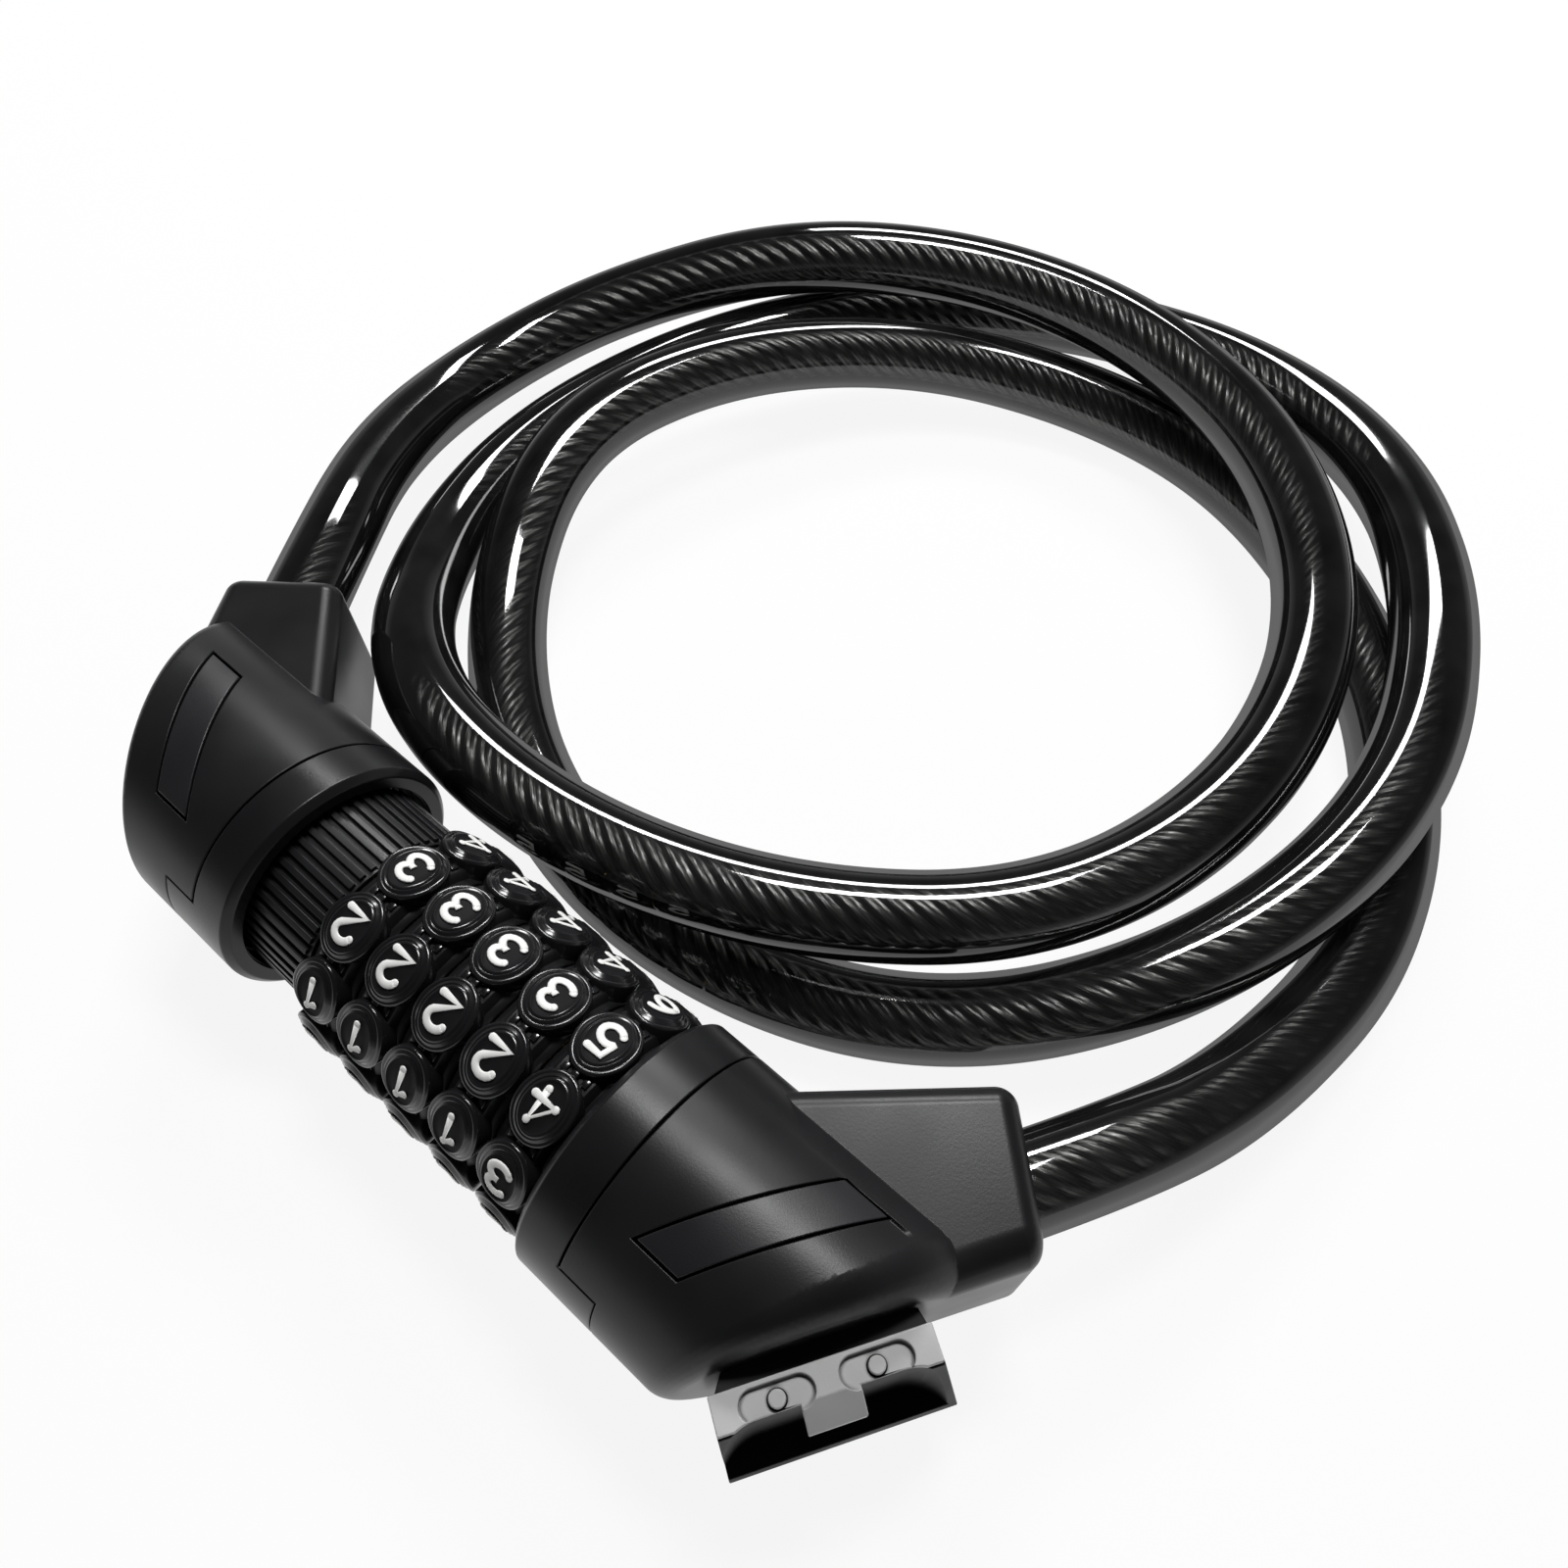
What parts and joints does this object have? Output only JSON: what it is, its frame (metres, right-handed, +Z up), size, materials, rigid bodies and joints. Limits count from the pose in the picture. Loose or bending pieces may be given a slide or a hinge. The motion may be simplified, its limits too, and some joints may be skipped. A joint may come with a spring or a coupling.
{
  "type": "combination cable lock",
  "caption": "Resettable number-dial cable lock: a plug head pushes into a core tube and a coiled jacketed steel cable joins the two heads.",
  "frame": {"origin": "on the floor below the middle of the lock without its cable", "axes": "+X along the barrel from the plug head to the main head, +Y towards the coiled cable, +Z up"},
  "size_m": [0.1853, 0.1981, 0.034],
  "materials": {
    "shell": "satin",
    "band": "satin",
    "inlay": "semi-gloss",
    "collar": "satin",
    "dial": "satin with glossy pads",
    "shoe": "semi-gloss",
    "plate": "semi-gloss",
    "jacket": "glossy, see-through",
    "rope": "twisted wire",
    "zinc": "cast",
    "alloy": "satin",
    "steel": "satin",
    "spring_steel": "bright",
    "brass": "satin"
  },
  "bodies": {
    "main": {"main_shell": "shell", "main_band": "band", "main_inlay": "inlay", "main_block": "zinc", "main_shell_screw": "steel", "main_ferrule": "alloy", "main_set_screw": "steel", "tube_pin": "steel", "core_tube": "steel", "detent_spring": "spring_steel", "bracket_shoe": "shoe", "bracket_plate": "plate", "bracket_pegs": "plate", "retaining_ring": "spring_steel", "clutch_spring": "spring_steel", "cable_jacket": "jacket", "cable_rope": "rope"},
    "plug": {"plug_shell": "shell", "plug_band": "band", "plug_inlay": "inlay", "plug_block": "zinc", "plug_shell_screw": "steel", "plug_ferrule": "alloy", "plug_set_screw": "steel", "bolt_pin": "steel", "plug_bolt": "steel"},
    "collar": {"reset_collar": "collar"},
    "clutch": {"cam_ring": "brass", "cam_pins": "steel", "thrust_washer": "steel"},
    "dial_1": {"dial_ring_1": "dial"},
    "disc_1": {"code_disc_1": "brass"},
    "dial_2": {"dial_ring_2": "dial"},
    "disc_2": {"code_disc_2": "brass"},
    "dial_3": {"dial_ring_3": "dial"},
    "disc_3": {"code_disc_3": "brass"},
    "dial_4": {"dial_ring_4": "dial"},
    "disc_4": {"code_disc_4": "brass"},
    "dial_5": {"dial_ring_5": "dial"},
    "disc_5": {"code_disc_5": "brass"}
  },
  "joints": [
    {"name": "plug_slide", "type": "slide", "parent": "main", "child": "plug", "axis": [-1, 0, 0], "range_m": [0, 0.06], "deforming": ["cable_jacket", "cable_rope"]},
    {"name": "collar_turn", "type": "hinge", "parent": "main", "child": "collar", "pos_m": [-0.02322, -0.0065, 0.017], "axis": [-1, 0, 0], "range_deg": [0, 90]},
    {"name": "clutch_slide", "type": "slide", "parent": "main", "child": "clutch", "axis": [1, 0, 0], "range_m": [0, 0.0022], "deforming": ["clutch_spring"]},
    {"name": "dial_1_turn", "type": "hinge", "parent": "main", "child": "dial_1", "pos_m": [-0.01222, -0.0065, 0.017], "axis": [1, 0, 0], "continuous": true},
    {"name": "disc_1_turn", "type": "hinge", "parent": "clutch", "child": "disc_1", "pos_m": [-0.01222, -0.0065, 0.017], "axis": [1, 0, 0], "continuous": true},
    {"name": "dial_2_turn", "type": "hinge", "parent": "main", "child": "dial_2", "pos_m": [-0.00422, -0.0065, 0.017], "axis": [1, 0, 0], "continuous": true},
    {"name": "disc_2_turn", "type": "hinge", "parent": "clutch", "child": "disc_2", "pos_m": [-0.00422, -0.0065, 0.017], "axis": [1, 0, 0], "continuous": true},
    {"name": "dial_3_turn", "type": "hinge", "parent": "main", "child": "dial_3", "pos_m": [0.00378, -0.0065, 0.017], "axis": [1, 0, 0], "continuous": true},
    {"name": "disc_3_turn", "type": "hinge", "parent": "clutch", "child": "disc_3", "pos_m": [0.00378, -0.0065, 0.017], "axis": [1, 0, 0], "continuous": true},
    {"name": "dial_4_turn", "type": "hinge", "parent": "main", "child": "dial_4", "pos_m": [0.01178, -0.0065, 0.017], "axis": [1, 0, 0], "continuous": true},
    {"name": "disc_4_turn", "type": "hinge", "parent": "clutch", "child": "disc_4", "pos_m": [0.01178, -0.0065, 0.017], "axis": [1, 0, 0], "continuous": true},
    {"name": "dial_5_turn", "type": "hinge", "parent": "main", "child": "dial_5", "pos_m": [0.01978, -0.0065, 0.017], "axis": [1, 0, 0], "continuous": true},
    {"name": "disc_5_turn", "type": "hinge", "parent": "clutch", "child": "disc_5", "pos_m": [0.01978, -0.0065, 0.017], "axis": [1, 0, 0], "continuous": true}
  ],
  "couplings": [
    {"joint": "clutch_slide", "follows": "collar_turn", "m_per_rad": 0.0014},
    {"joint": "disc_1_turn", "follows": "dial_1_turn", "ratio": 1},
    {"joint": "disc_2_turn", "follows": "dial_2_turn", "ratio": 1},
    {"joint": "disc_3_turn", "follows": "dial_3_turn", "ratio": 1},
    {"joint": "disc_4_turn", "follows": "dial_4_turn", "ratio": 1},
    {"joint": "disc_5_turn", "follows": "dial_5_turn", "ratio": 1}
  ]
}
